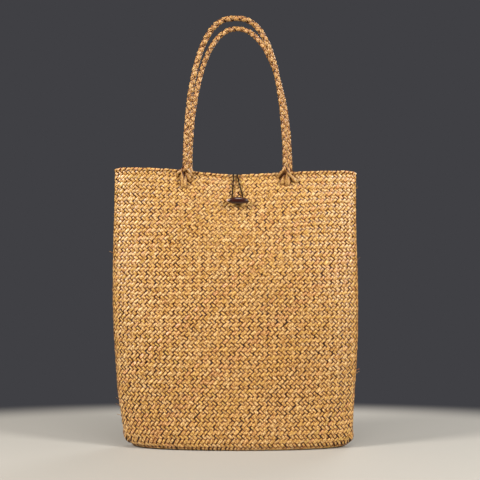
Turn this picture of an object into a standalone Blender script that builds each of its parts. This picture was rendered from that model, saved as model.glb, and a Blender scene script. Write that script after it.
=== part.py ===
"""A plaited straw tote: a hollow woven pouch that stands on its base, two braided
handles whose feet tuck in through the walls, and a wooden toggle with an elastic loop.

Metres, +Z up. The origin is the middle of the base, on the surface that the bag stands on.
The front wall faces -Y and the back wall +Y.
"""
import math
from collections import namedtuple

import bmesh
import bpy
import numpy as np
from mathutils import Matrix, Vector

# The woven pouch
BODY_WIDTH = 0.352
BODY_HEIGHT = 0.386
BELLY_DEPTH = 0.084
MOUTH_DEPTH = 0.031
WALL = 0.0024
BASE_WALL = 0.0026
FOLD_THICKENING = 1.6
RING_POINTS = 52

# The rim stands higher towards the sides, and its plaited fold is a little proud
RIM_RISE_LEFT = 0.0100
RIM_RISE_RIGHT = 0.0055
RIM_CORNER_DROP = 0.0030
RIM_LIP = 0.0005
RIM_FOLD_HEIGHT = 0.0045

# The loop draws the middle of the mouth together
MOUTH_PINCH = 0.35
PINCH_SPREAD = 0.050

# The braided handles
BRAID_THICKNESS_FRONT = 0.0102
BRAID_THICKNESS_BACK = 0.0094
BRAID_LUMP = 0.009
BRAID_NECK = 0.90
BRAID_SIDES = 8
HANDLE_RISE = 0.222
FRONT_HANDLE_SPAN = 0.141
FRONT_HANDLE_SHIFT = 0.0
FRONT_HANDLE_TOP_SHIFT = 0.0
FRONT_HANDLE_TOP_Y = -0.012
FRONT_ARCH_SQUARENESS = 2.6
BACK_HANDLE_SPAN = 0.1445
BACK_HANDLE_SHIFT = 0.0060
BACK_HANDLE_TOP_SHIFT = -0.0040
BACK_HANDLE_TOP_Y = 0.062
BACK_ARCH_SQUARENESS = 2.2

# Each foot fans out, passes through a slit and lies flat inside
FOOT_DROP = 0.020
TUCK_WIDTH = 0.0140
TUCK_THICKNESS = 0.0020
TUCK_TAIL = 0.014
SLIT_CLEARANCE = 0.0005

# Where the tongue starts to slant and where it lies along the wall again, as shares of its
# distance from the middle of the wall
SLANT_START = 0.85
SLANT_END = 1.25

# The toggle, its tie and the elastic loop
TOGGLE_LENGTH = 0.0315
TOGGLE_THICKNESS = 0.0104
TOGGLE_FULLNESS = 0.62
TOGGLE_DROP = 0.0365
TOGGLE_SHIFT = 0.0028
TOGGLE_HOLE_DEPTH = 0.0055
TOGGLE_SIDES = 14
TIE_THICKNESS = 0.0020
TIE_KNOT_WIDTH = 0.0064
TIE_KNOT_LENGTH = 0.0040
LOOP_THICKNESS = 0.0018
LOOP_WIDTH = 0.0150
LOOP_LEG_SPACING = 0.0050
LOOP_HOLE_DROP = 0.012
LOOP_KNOT_WIDTH = 0.0096

# Clearance between pieces that touch on the real bag
GAP = 0.0003

# Outer sections of the pouch from the base up. up is a share of the body's height, left and
# right of half its width. Half depth is belly x half the belly depth + mouth x half the mouth
# depth. square is the section's exponent: 2 is an ellipse, more is fuller at the corners.
Section = namedtuple("Section", "up left right belly mouth square")
SECTIONS = (
    Section(0.000, 0.785, 0.860, 0.89, 0.00, 2.0),
    Section(0.008, 0.845, 0.915, 0.95, 0.00, 2.1),
    Section(0.026, 0.882, 0.938, 0.98, 0.00, 2.2),
    Section(0.058, 0.913, 0.956, 1.00, 0.00, 2.3),
    Section(0.132, 0.938, 0.963, 1.00, 0.00, 2.4),
    Section(0.206, 0.962, 0.972, 1.00, 0.00, 2.5),
    Section(0.297, 0.974, 0.986, 0.99, 0.01, 2.5),
    Section(0.413, 0.991, 0.998, 0.94, 0.05, 2.5),
    Section(0.530, 1.000, 1.000, 0.85, 0.10, 2.5),
    Section(0.646, 1.000, 0.996, 0.72, 0.20, 2.5),
    Section(0.762, 0.996, 0.986, 0.56, 0.32, 2.4),
    Section(0.866, 0.988, 0.983, 0.36, 0.54, 2.4),
    Section(0.943, 0.986, 0.983, 0.18, 0.74, 2.3),
    Section(1.000, 0.984, 0.985, 0.00, 1.00, 2.2),
)

# Soft swells and hollows of the two panels. across is a share of half the width, up of the
# height, spreads are shares of the same, and proud is a share of half the belly depth.
Swell = namedtuple("Swell", "side across up spread_across spread_up proud")
SWELLS = (
    Swell(-1, 0.46, 0.62, 0.30, 0.20, 0.075),
    Swell(-1, -0.20, 0.52, 0.40, 0.26, -0.050),
    Swell(-1, -0.62, 0.36, 0.26, 0.22, 0.050),
    Swell(1, 0.30, 0.40, 0.40, 0.24, 0.060),
    Swell(1, -0.40, 0.66, 0.34, 0.20, -0.040),
)

# How a handle's foot swells from the flat tongue at the slit to the round braid. up is a
# share of the foot's drop above the slit, wide and thick are shares of the braid's thickness.
FanRow = namedtuple("FanRow", "up wide thick")
FOOT_FAN = (
    FanRow(0.36, 1.44, 0.26),
    FanRow(0.60, 1.40, 0.42),
    FanRow(0.82, 1.26, 0.66),
    FanRow(1.04, 1.08, 0.90),
)
ARCH_START = 1.26

# The toggle's outline: along is a share of half its length, from one tip to the other.
TOGGLE_STATIONS = (1.0, 0.94, 0.82, 0.64, 0.42, 0.16, -0.16, -0.42, -0.64, -0.82, -0.94, -1.0)

# Principled colours (linear), roughness
FINISHES = {
    "straw_weave": ((0.55, 0.30, 0.11), 0.55),
    "straw_braid": ((0.60, 0.36, 0.15), 0.50),
    "toggle_wood": ((0.055, 0.018, 0.010), 0.25),
    "tie_cord": ((0.16, 0.09, 0.05), 0.70),
    "black_elastic": ((0.010, 0.010, 0.010), 0.60),
}

FRONT = -1
BACK = 1
EPSILON = 1e-6


def clear_scene():
    for old in list(bpy.data.objects):
        bpy.data.objects.remove(old, do_unlink=True)


def make_collection(name):
    collection = bpy.data.collections.new(name)
    bpy.context.scene.collection.children.link(collection)
    return collection


def finish_material(name):
    colour, roughness = FINISHES[name]
    material = bpy.data.materials.new(name)
    material.use_nodes = True
    shader = material.node_tree.nodes["Principled BSDF"]
    shader.inputs["Base Color"].default_value = (*colour, 1.0)
    shader.inputs["Roughness"].default_value = roughness
    shader.inputs["Metallic"].default_value = 0.0
    return material


def add_object(name, mesh, collection, finish=None):
    obj = bpy.data.objects.new(name, mesh)
    collection.objects.link(obj)
    if finish:
        mesh.materials.clear()
        mesh.materials.append(finish_material(finish))
    return obj


def mesh_from_bmesh(name, bm):
    mesh = bpy.data.meshes.new(name)
    bm.to_mesh(mesh)
    bm.free()
    return mesh


def section_at(up):
    """The outer section at a share of the height, straight between the rows."""
    rows = np.array(SECTIONS)
    columns = [np.interp(up, rows[:, 0], column) for column in rows.T]
    return Section(*columns)


def rim_rise(across):
    """How far the rim at this place across stands above its middle."""
    across = np.asarray(across, float)
    row = SECTIONS[-1]
    half = np.where(across < 0, row.left, row.right) * BODY_WIDTH / 2
    share = np.clip(np.abs(across) / half, 0, 1)
    rise = np.where(across < 0, RIM_RISE_LEFT, RIM_RISE_RIGHT)
    climb = np.sin(math.pi / 2 * np.clip(share / 0.85, 0, 1)) ** 1.5
    corner = np.clip((share - 0.93) / 0.07, 0, 1) ** 2
    return rise * climb - RIM_CORNER_DROP * corner


def height_at(across, up):
    """Height of a place on the wall: the rim's curve fades out towards the base."""
    return up * BODY_HEIGHT + up**4 * rim_rise(across)


def up_at(across, height):
    """The share of the height at which the wall stands this high."""
    up = height / BODY_HEIGHT
    for _ in range(8):
        up = (height - up**4 * float(rim_rise(across))) / BODY_HEIGHT
    return up


def half_depth(across, row, side):
    """Half depth of a section before it rounds off at the side folds."""
    across = np.asarray(across, float)
    pinch = 1 - MOUTH_PINCH * row.mouth * np.exp(-((across / PINCH_SPREAD) ** 2))
    depth = (row.belly * BELLY_DEPTH + row.mouth * MOUTH_DEPTH) / 2 * pinch
    for swell in SWELLS:
        from_middle = (across / (BODY_WIDTH / 2) - swell.across) / swell.spread_across
        from_height = (row.up - swell.up) / swell.spread_up
        bump = np.exp(-(from_middle**2) - from_height**2)
        depth = depth + np.where(side == swell.side, bump, 0) * swell.proud * BELLY_DEPTH / 2
    return depth


def wall_y(across, height, side, inset=0.0):
    """Y of the wall's face, front or back, at a place across and a height."""
    row = section_at(up_at(across, height))
    reach = (row.left if across < 0 else row.right) * BODY_WIDTH / 2 - inset * FOLD_THICKENING
    fullness = (1 - (abs(across) / reach) ** row.square) ** (1 / row.square)
    return side * fullness * (float(half_depth(across, row, side)) - inset)


def spread_evenly(points, count):
    """Points at even steps along a polyline, first and last included."""
    points = np.asarray(points, float)
    along = np.concatenate([[0], np.cumsum(np.linalg.norm(np.diff(points, axis=0), axis=1))])
    steps = np.linspace(0, along[-1], count)
    return np.column_stack([np.interp(steps, along, points[:, i]) for i in range(points.shape[1])])


def pouch_ring(up, inset, fine=180):
    """One level loop of the pouch, from the right fold round the back, left fold and front."""
    row = section_at(up)
    loop = []
    for side, start in ((BACK, 0.0), (FRONT, math.pi)):
        turn = np.linspace(start, start + math.pi, fine)
        power = 2 / row.square
        reach = np.where(np.cos(turn) < 0, row.left, row.right) * BODY_WIDTH / 2
        reach = reach - inset * FOLD_THICKENING
        across = reach * np.sign(np.cos(turn)) * np.abs(np.cos(turn)) ** power
        fullness = np.abs(np.sin(turn)) ** power
        depth = side * fullness * (half_depth(across, row, side) - inset)
        panel = spread_evenly(np.column_stack([across, depth]), RING_POINTS // 2 + 1)
        loop.extend(panel[:-1])
    loop = np.array(loop)
    return np.column_stack([loop, height_at(loop[:, 0], up)])


def loft(rings, name):
    """A closed solid through level loops, with a flat face over each end loop."""
    bm = bmesh.new()
    loops = [[bm.verts.new(point) for point in ring] for ring in rings]
    for lower, upper in zip(loops, loops[1:]):
        for i in range(len(lower)):
            j = (i + 1) % len(lower)
            bm.faces.new((lower[i], lower[j], upper[j], upper[i]))
    bm.faces.new(reversed(loops[0]))
    bm.faces.new(loops[-1])
    bmesh.ops.recalc_face_normals(bm, faces=bm.faces)
    return mesh_from_bmesh(name, bm)


def pouch_mesh():
    fold = RIM_FOLD_HEIGHT / BODY_HEIGHT
    outer = [(row.up, 0.0) for row in SECTIONS[:-1]]
    rim = [(1 - fold, 0.0), (1 - 0.8 * fold, -RIM_LIP), (1 - 0.2 * fold, -RIM_LIP), (1.0, 0.0)]
    floor = BASE_WALL / BODY_HEIGHT
    inner = [(row.up, WALL) for row in SECTIONS if row.up > 2 * floor]
    inner = [(floor, WALL)] + inner
    return loft([pouch_ring(up, inset) for up, inset in outer + rim + inner[::-1]], "woven_body")


class Foot:
    """Where one end of a handle meets the wall: the slit, the tongue and the fan above it."""

    def __init__(self, across, side, braid):
        self.across = across
        self.side = side
        self.braid = braid
        self.rim = float(height_at(across, 1.0))
        self.slit = self.rim - FOOT_DROP
        self.reach = WALL / 2 + GAP + TUCK_THICKNESS / 2
        step = 0.001
        here = wall_y(across - step, self.slit, side)
        there = wall_y(across + step, self.slit, side)
        self.along_wall = Vector((2 * step, there - here, 0)).normalized()
        self.outward = side * self.along_wall.cross(Vector((0, 0, -1)))

    def at(self, out, height):
        """A point out from the middle of the wall's thickness, at a height."""
        height_on_wall = min(height, self.rim)
        middle = wall_y(self.across, height_on_wall, self.side) - self.side * WALL / 2
        return Vector((self.across, middle, height)) + self.outward * out

    def stations(self):
        """Point, width and thickness from the tail inside up to where the arch starts."""
        reach = self.reach
        turn_in = SLANT_START * reach
        turn_down = SLANT_END * reach
        tuck = (TUCK_WIDTH, TUCK_THICKNESS)
        places = [
            (-reach, -TUCK_TAIL, *tuck),
            (-reach, -TUCK_TAIL / 2, *tuck),
            (-reach, -turn_down, *tuck),
            (-turn_in, -turn_in, *tuck),
            (turn_in, turn_in, *tuck),
            (reach, turn_down, *tuck),
        ]
        for row in FOOT_FAN:
            thick = row.thick * self.braid
            out = WALL / 2 + RIM_LIP + GAP + thick / 2
            places.append((out, row.up * FOOT_DROP, row.wide * self.braid, thick))
        return [(self.at(out, self.slit + up), wide, thick) for out, up, wide, thick in places]

    def arch_start(self):
        out = WALL / 2 + RIM_LIP + GAP + self.braid / 2
        return self.at(out, self.slit + ARCH_START * FOOT_DROP)

    def slit_cutter(self, collection, name):
        """A box round the tongue where it slants through the wall."""
        turn_in = SLANT_START * self.reach
        inside = self.at(-turn_in, self.slit - turn_in)
        outside = self.at(turn_in, self.slit + turn_in)
        through = (outside - inside).normalized()
        across = self.along_wall
        flat = through.cross(across)
        bm = bmesh.new()
        bmesh.ops.create_cube(bm, size=1.0)
        size = (TUCK_WIDTH + 2 * SLIT_CLEARANCE, TUCK_THICKNESS + 2 * SLIT_CLEARANCE, 6 * turn_in)
        bmesh.ops.scale(bm, vec=size, verts=bm.verts)
        turn = Matrix((across, flat, through)).transposed()
        bmesh.ops.rotate(bm, cent=(0, 0, 0), matrix=turn, verts=bm.verts)
        bmesh.ops.translate(bm, vec=(inside + outside) / 2, verts=bm.verts)
        return add_cutter(name, mesh_from_bmesh(name, bm), collection)


def add_cutter(name, mesh, collection):
    cutter = add_object(name, mesh, collection)
    cutter.hide_render = True
    cutter.display_type = "WIRE"
    return cutter


def cut(obj, cutter):
    boolean = obj.modifiers.new(cutter.name, "BOOLEAN")
    boolean.operation = "DIFFERENCE"
    boolean.solver = "EXACT"
    boolean.object = cutter


def rod_cutter(name, start, end, thickness, collection, sides=16):
    """A round cutter between two points."""
    start = Vector(start)
    end = Vector(end)
    bm = bmesh.new()
    bmesh.ops.create_cone(
        bm,
        cap_ends=True,
        segments=sides,
        radius1=thickness / 2,
        radius2=thickness / 2,
        depth=(end - start).length,
    )
    turn = Vector((0, 0, 1)).rotation_difference(end - start).to_matrix()
    bmesh.ops.rotate(bm, cent=(0, 0, 0), matrix=turn, verts=bm.verts)
    bmesh.ops.translate(bm, vec=(start + end) / 2, verts=bm.verts)
    return add_cutter(name, mesh_from_bmesh(name, bm), collection)


def arch_points(left, right, top_shift, top_y, squareness):
    """The arch between two feet: it leans sideways and back by the square of its rise."""
    start_left = left.arch_start()
    start_right = right.arch_start()
    middle = (start_left.x + start_right.x) / 2
    top = BODY_HEIGHT + HANDLE_RISE
    points = []
    for turn in np.linspace(math.pi, 0, 240):
        start = start_left if math.cos(turn) < 0 else start_right
        out = abs(math.cos(turn)) ** (2 / squareness)
        rise = math.sin(turn)
        x = middle + (start.x - middle) * out + top_shift * rise**2
        y = start.y + (top_y - start.y) * rise**2
        z = start.z + (top - start.z) * rise
        points.append((x, y, z))
    length = sum(math.dist(a, b) for a, b in zip(points, points[1:]))
    return spread_evenly(points, 2 * round(length / BRAID_LUMP) + 1)


def handle_mesh(left, right, arch_sizes, name):
    """A braid swept from one tucked tail to the other, with a lump for each crossing."""
    braid = left.braid
    arch = [(Vector(point), braid, braid) for point in arch_points(left, right, *arch_sizes)]
    stations = left.stations() + arch + right.stations()[::-1]
    feet = len(left.stations())
    points = [station[0] for station in stations]
    rings = []
    for i, (point, wide, thick) in enumerate(stations):
        ahead = points[min(i + 1, len(points) - 1)]
        behind = points[max(i - 1, 0)]
        tangent = (ahead - behind).normalized()
        outward = left.outward if i < feet else Vector((0, left.side, 0))
        if i >= len(stations) - feet:
            outward = right.outward
        across = tangent.cross(outward).normalized()
        depth = across.cross(tangent).normalized()
        lump = 1.0 if i % 2 else BRAID_NECK
        ring = []
        for k in range(BRAID_SIDES):
            turn = 2 * math.pi * (k + 0.5 * (i % 2)) / BRAID_SIDES
            sideways = across * (wide / 2 * math.cos(turn) * lump)
            inwards = depth * (thick / 2 * math.sin(turn) * lump)
            ring.append(point + sideways + inwards)
        rings.append(ring)
    return loft(rings, name)


def turned_mesh(name, profile, sides, turn, place):
    """A turned solid: a profile of (radius, height) from top to bottom, spun about Z."""
    mesh = bpy.data.meshes.new(name)
    verts = [(radius, 0, height) for radius, height in profile]
    mesh.from_pydata(verts, [(i, i + 1) for i in range(len(verts) - 1)], [])
    guide = bpy.data.objects.new(name + "_profile", mesh)
    bpy.context.scene.collection.objects.link(guide)
    screw = guide.modifiers.new("turn", "SCREW")
    screw.steps = sides
    screw.render_steps = sides
    screw.use_merge_vertices = True
    screw.merge_threshold = EPSILON
    bpy.context.view_layer.update()
    evaluated = guide.evaluated_get(bpy.context.evaluated_depsgraph_get())
    turned = bpy.data.meshes.new_from_object(evaluated)
    bpy.data.objects.remove(guide, do_unlink=True)
    turned.name = name
    turned.transform(Matrix.Translation(place) @ turn.to_4x4())
    return turned


def toggle_place():
    """Middle of the toggle, clear of the wall by the loop that passes behind it."""
    height = BODY_HEIGHT - TOGGLE_DROP
    face = wall_y(TOGGLE_SHIFT, height, FRONT)
    out = 2 * GAP + LOOP_THICKNESS + TOGGLE_THICKNESS / 2
    return Vector((TOGGLE_SHIFT, face - out, height))


def toggle_mesh():
    profile = []
    for along in TOGGLE_STATIONS:
        radius = TOGGLE_THICKNESS / 2 * (1 - along**2) ** TOGGLE_FULLNESS
        profile.append((radius, along * TOGGLE_LENGTH / 2))
    lying = Matrix.Rotation(math.pi / 2, 3, "Y")
    return turned_mesh("toggle", profile, TOGGLE_SIDES, lying, toggle_place())


def tie_mesh():
    """A cord from inside the toggle, through the wall, to a knot on the wall's inner face."""
    toggle = toggle_place()
    inner_face = wall_y(toggle.x, toggle.z, FRONT, WALL)
    tip = toggle.y + TOGGLE_THICKNESS / 2 - TOGGLE_HOLE_DEPTH + GAP
    knot = inner_face + GAP - tip
    cord = TIE_THICKNESS / 2
    knob = TIE_KNOT_WIDTH / 2
    end = knot + TIE_KNOT_LENGTH
    profile = [
        (0, end),
        (0.6 * knob, end),
        (knob, end - 0.35 * TIE_KNOT_LENGTH),
        (knob, knot + 0.25 * TIE_KNOT_LENGTH),
        (0.7 * knob, knot),
        (cord, knot),
        (cord, 0),
        (0, 0),
    ]
    backwards = Matrix.Rotation(-math.pi / 2, 3, "X")
    return turned_mesh("toggle_tie", profile, 12, backwards, Vector((toggle.x, tip, toggle.z)))


def loop_leg(toward):
    """One leg of the loop, from its knot behind the back wall to the toggle's upper edge."""
    cord = LOOP_THICKNESS / 2
    x = toward * LOOP_LEG_SPACING / 2
    hole = BODY_HEIGHT - LOOP_HOLE_DROP
    back_outer = wall_y(0, hole, BACK)
    back_inner = wall_y(0, hole, BACK, WALL)
    front_inner = wall_y(0, BODY_HEIGHT, FRONT, WALL)
    front_outer = wall_y(0, BODY_HEIGHT, FRONT) - RIM_LIP
    over = BODY_HEIGHT + GAP + cord
    toggle = toggle_place()
    points = [
        (x, back_outer + GAP + LOOP_KNOT_WIDTH / 2, hole),
        (x, back_outer, hole),
        (x, back_inner - 2 * cord, hole + 0.3 * cord),
        (x, back_inner - 5 * cord, hole + 2 * cord),
        (x, 0.35 * back_inner, hole + 0.55 * LOOP_HOLE_DROP),
        (x, 0.55 * front_inner, over - 1.2 * cord),
        (x, front_inner, over),
        (x, front_outer + cord, over + 0.2 * cord),
        (x, front_outer - GAP - 0.6 * cord, over - 0.7 * cord),
        (x, front_outer - GAP - cord, over - 2.2 * cord),
    ]
    end = Vector((toggle.x + toward * LOOP_WIDTH / 2, 0, toggle.z + TOGGLE_THICKNESS / 2))
    top = points[-1]
    for share in (0.16, 0.36, 0.58, 0.80, 1.0):
        across = top[0] + (end.x - top[0]) * share
        height = top[2] + (end.z - top[2]) * share
        lip = RIM_LIP * (1 - share)
        points.append((across, wall_y(across, height, FRONT) - lip - GAP - cord, height))
    return points


def loop_bow():
    """The end of the loop behind the toggle, under the tie."""
    cord = LOOP_THICKNESS / 2
    toggle = toggle_place()
    drop = TOGGLE_THICKNESS / 2 + TIE_THICKNESS / 2 + GAP + cord
    points = []
    for turn in np.linspace(math.pi, 2 * math.pi, 13)[1:-1]:
        across = toggle.x + LOOP_WIDTH / 2 * math.cos(turn)
        height = toggle.z + TOGGLE_THICKNESS / 2 + drop * math.sin(turn)
        points.append((across, wall_y(across, height, FRONT) - GAP - cord, height))
    return points


def loop_mesh():
    """The elastic cord as a tube, joined to the knot that both its ends run into."""
    points = loop_leg(-1) + loop_bow() + loop_leg(1)[::-1]
    curve = bpy.data.curves.new("closure_loop_route", "CURVE")
    curve.dimensions = "3D"
    curve.bevel_depth = LOOP_THICKNESS / 2
    curve.bevel_resolution = 2
    curve.use_fill_caps = True
    spline = curve.splines.new("POLY")
    spline.points.add(len(points) - 1)
    for slot, point in zip(spline.points, points):
        slot.co = (*point, 1.0)
    guide = bpy.data.objects.new("closure_loop_route", curve)
    bpy.context.scene.collection.objects.link(guide)
    bpy.context.view_layer.update()
    evaluated = guide.evaluated_get(bpy.context.evaluated_depsgraph_get())
    tube = bpy.data.meshes.new_from_object(evaluated)
    bpy.data.objects.remove(guide, do_unlink=True)
    bm = bmesh.new()
    bm.from_mesh(tube)
    bmesh.ops.remove_doubles(bm, verts=bm.verts, dist=EPSILON)
    bmesh.ops.recalc_face_normals(bm, faces=bm.faces)
    bm.to_mesh(tube)
    bm.free()
    tube.name = "closure_loop"
    return tube


def loop_knot(collection):
    """The knot that rests against the back wall's outer face."""
    hole = BODY_HEIGHT - LOOP_HOLE_DROP
    bm = bmesh.new()
    bmesh.ops.create_uvsphere(bm, u_segments=12, v_segments=8, radius=LOOP_KNOT_WIDTH / 2)
    bmesh.ops.scale(bm, vec=(1.0, 0.75, 0.85), verts=bm.verts)
    out = GAP + 0.75 * LOOP_KNOT_WIDTH / 2
    place = (0, wall_y(0, hole, BACK) + out, hole)
    bmesh.ops.translate(bm, vec=place, verts=bm.verts)
    return add_cutter("loop_knot", mesh_from_bmesh("loop_knot", bm), collection)


def build():
    clear_scene()
    bag = make_collection("straw_tote")
    cutters = make_collection("cutters")

    feet = {}
    for side, braid, shift, span in (
        (FRONT, BRAID_THICKNESS_FRONT, FRONT_HANDLE_SHIFT, FRONT_HANDLE_SPAN),
        (BACK, BRAID_THICKNESS_BACK, BACK_HANDLE_SHIFT, BACK_HANDLE_SPAN),
    ):
        left = Foot(shift - span / 2, side, braid)
        right = Foot(shift + span / 2, side, braid)
        feet[side] = (left, right)

    body = add_object("woven_body", pouch_mesh(), bag, "straw_weave")
    for side, name in ((FRONT, "front"), (BACK, "back")):
        for foot, hand in zip(feet[side], ("left", "right")):
            cut(body, foot.slit_cutter(cutters, f"{name}_{hand}_slit"))

    toggle = toggle_place()
    wall_middle = wall_y(toggle.x, toggle.z, FRONT)
    through = Vector((0, 3 * WALL, 0))
    tie_hole = Vector((toggle.x, wall_middle, toggle.z))
    tie_bore = TIE_THICKNESS + 2 * GAP
    cut(body, rod_cutter("tie_hole", tie_hole - through, tie_hole + through, tie_bore, cutters))

    loop_height = BODY_HEIGHT - LOOP_HOLE_DROP
    loop_hole = Vector((0, wall_y(0, loop_height, BACK), loop_height))
    loop_bore = LOOP_LEG_SPACING + LOOP_THICKNESS + 2 * GAP
    loop_ends = (loop_hole - through, loop_hole + through)
    cut(body, rod_cutter("loop_hole", *loop_ends, loop_bore, cutters))

    front_arch = (FRONT_HANDLE_TOP_SHIFT, FRONT_HANDLE_TOP_Y, FRONT_ARCH_SQUARENESS)
    back_arch = (BACK_HANDLE_TOP_SHIFT, BACK_HANDLE_TOP_Y, BACK_ARCH_SQUARENESS)
    for side, name, arch in (
        (FRONT, "front_handle", front_arch),
        (BACK, "back_handle", back_arch),
    ):
        add_object(name, handle_mesh(*feet[side], arch, name), bag, "straw_braid")

    toggle_piece = add_object("toggle", toggle_mesh(), bag, "toggle_wood")
    behind = toggle + Vector((0, TOGGLE_THICKNESS, 0))
    bottom = toggle + Vector((0, TOGGLE_THICKNESS / 2 - TOGGLE_HOLE_DEPTH, 0))
    cut(toggle_piece, rod_cutter("toggle_hole", bottom, behind, tie_bore, cutters))

    add_object("toggle_tie", tie_mesh(), bag, "tie_cord")

    loop = add_object("closure_loop", loop_mesh(), bag, "black_elastic")
    join = loop.modifiers.new("knot", "BOOLEAN")
    join.operation = "UNION"
    join.solver = "EXACT"
    join.object = loop_knot(cutters)


build()
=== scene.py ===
"""A plaited straw tote dressed for its picture: interlaced straws, braided handles,
a wooden toggle and an elastic loop, on a pale studio floor. Metres, +Z up, front to -Y.
"""
import math

import bpy
import numpy as np
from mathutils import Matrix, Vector


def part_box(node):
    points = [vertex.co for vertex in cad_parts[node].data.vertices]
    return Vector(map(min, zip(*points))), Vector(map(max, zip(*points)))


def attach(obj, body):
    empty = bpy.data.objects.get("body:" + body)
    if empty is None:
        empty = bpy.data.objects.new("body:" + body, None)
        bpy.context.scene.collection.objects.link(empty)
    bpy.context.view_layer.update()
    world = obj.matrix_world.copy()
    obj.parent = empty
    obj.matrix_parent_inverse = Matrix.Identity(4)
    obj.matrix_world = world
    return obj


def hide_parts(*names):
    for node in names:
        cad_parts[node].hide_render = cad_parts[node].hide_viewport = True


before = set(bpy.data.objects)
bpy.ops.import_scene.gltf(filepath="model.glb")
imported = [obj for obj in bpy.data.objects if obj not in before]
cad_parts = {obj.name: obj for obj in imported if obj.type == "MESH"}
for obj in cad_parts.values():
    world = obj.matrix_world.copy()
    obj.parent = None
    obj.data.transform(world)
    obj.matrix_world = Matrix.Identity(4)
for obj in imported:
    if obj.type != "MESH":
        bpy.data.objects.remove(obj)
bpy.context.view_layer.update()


# Camera.
# A level camera 1.5 m in front of the bag, at three quarters of the pouch's height.


def add_object(name, data):
    """An object in the scene, at the origin."""
    added = bpy.data.objects.new(name, data)
    bpy.context.scene.collection.objects.link(added)
    return added


eye = bpy.data.cameras.new("camera")
eye.sensor_fit = "HORIZONTAL"
eye.sensor_width = 36.0
eye.lens = 78.75
camera = add_object("camera", eye)
camera.location = (0.0064, -1.5, 0.294)
camera.rotation_euler = (math.radians(90), 0, 0)
bpy.context.scene.camera = camera


# Woven pouch: the plaited wall.
# One wall of flattened palm straws, plaited by hand in a 2/2 twill on the bias. Two sets of
# straws climb round the pouch, one to the right and one to the left. Level rows of one set lie
# on top, then level rows of the other, and both turn under at the base.

FRONT, BACK = -1, 1
pouch_low, pouch_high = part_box("woven_body")

# The box also holds the rim's rise and the panels' swells, and these sizes are without them
HALF_WIDTH = (pouch_high.x - pouch_low.x) / 2
RIM_HEIGHT = 0.97475 * pouch_high.z
BELLY = 0.986 * (pouch_high.y - pouch_low.y)
MOUTH = 0.369 * BELLY
WALL = 0.0024

# From the base up: shares of the height, of half the width left and right and of the belly's
# and the mouth's depth, and the squareness of the oval
SECTIONS = np.array(
    (
        (0.000, 0.785, 0.860, 0.89, 0.00, 2.0),
        (0.008, 0.845, 0.915, 0.95, 0.00, 2.1),
        (0.026, 0.882, 0.938, 0.98, 0.00, 2.2),
        (0.058, 0.913, 0.956, 1.00, 0.00, 2.3),
        (0.132, 0.938, 0.963, 1.00, 0.00, 2.4),
        (0.206, 0.962, 0.972, 1.00, 0.00, 2.5),
        (0.297, 0.974, 0.986, 0.99, 0.01, 2.5),
        (0.413, 0.991, 0.998, 0.94, 0.05, 2.5),
        (0.530, 1.000, 1.000, 0.85, 0.10, 2.5),
        (0.646, 1.000, 0.996, 0.72, 0.20, 2.5),
        (0.762, 0.996, 0.986, 0.56, 0.32, 2.4),
        (0.866, 0.988, 0.983, 0.36, 0.54, 2.4),
        (0.943, 0.986, 0.983, 0.18, 0.74, 2.3),
        (1.000, 0.984, 0.985, 0.00, 1.00, 2.2),
    )
)

# Soft swells and hollows of the panels: side, place across and up, spread across and up, and
# how proud, all as shares
SWELLS = (
    (FRONT, 0.46, 0.62, 0.30, 0.20, 0.075),
    (FRONT, -0.20, 0.52, 0.40, 0.26, -0.050),
    (FRONT, -0.62, 0.36, 0.26, 0.22, 0.050),
    (BACK, 0.30, 0.40, 0.40, 0.24, 0.060),
    (BACK, -0.40, 0.66, 0.34, 0.20, -0.040),
)
RIM_RISE_LEFT, RIM_RISE_RIGHT, RIM_CORNER_DROP = (
    share * RIM_HEIGHT for share in (0.0259, 0.01425, 0.0078)
)
RIM_RISE_END, RIM_CORNER_START = 0.85, 0.93
PINCH, PINCH_SPREAD = 0.35, 0.28 * HALF_WIDTH
FOLD_THICKENING = 1.6

# The wall's middle starts this far above the floor, and the lift fades out up the wall
BASE_LIFT, BASE_LIFT_FADE = 0.0013, 0.003


def unit(vectors):
    """The same directions, each of length 1."""
    return vectors / np.linalg.norm(vectors, axis=-1, keepdims=True)


def run_along(points):
    """How far along a line each of its points lies."""
    return np.concatenate([[0], np.cumsum(np.linalg.norm(np.diff(points, axis=0), axis=1))])


def spread_evenly(points, count):
    """Points at even steps along a line, first and last included."""
    along = run_along(points)
    steps = np.linspace(0, along[-1], count)
    return np.stack([np.interp(steps, along, points[:, i]) for i in range(3)], -1)


def rim_rise(across):
    """How far the rim stands above its low middle at this place across."""
    reach = np.where(across < 0, *SECTIONS[-1, 1:3]) * HALF_WIDTH
    share = np.clip(np.abs(across) / reach, 0, 1)
    climb = np.sin(math.pi / 2 * np.clip(share / RIM_RISE_END, 0, 1)) ** 1.5
    corner = np.clip((share - RIM_CORNER_START) / (1 - RIM_CORNER_START), 0, 1) ** 2
    return np.where(across < 0, RIM_RISE_LEFT, RIM_RISE_RIGHT) * climb - RIM_CORNER_DROP * corner


def section(up):
    """One row of the table of sections, read at any share of the height."""
    return [np.interp(up, SECTIONS[:, 0], column) for column in SECTIONS.T]


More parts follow.
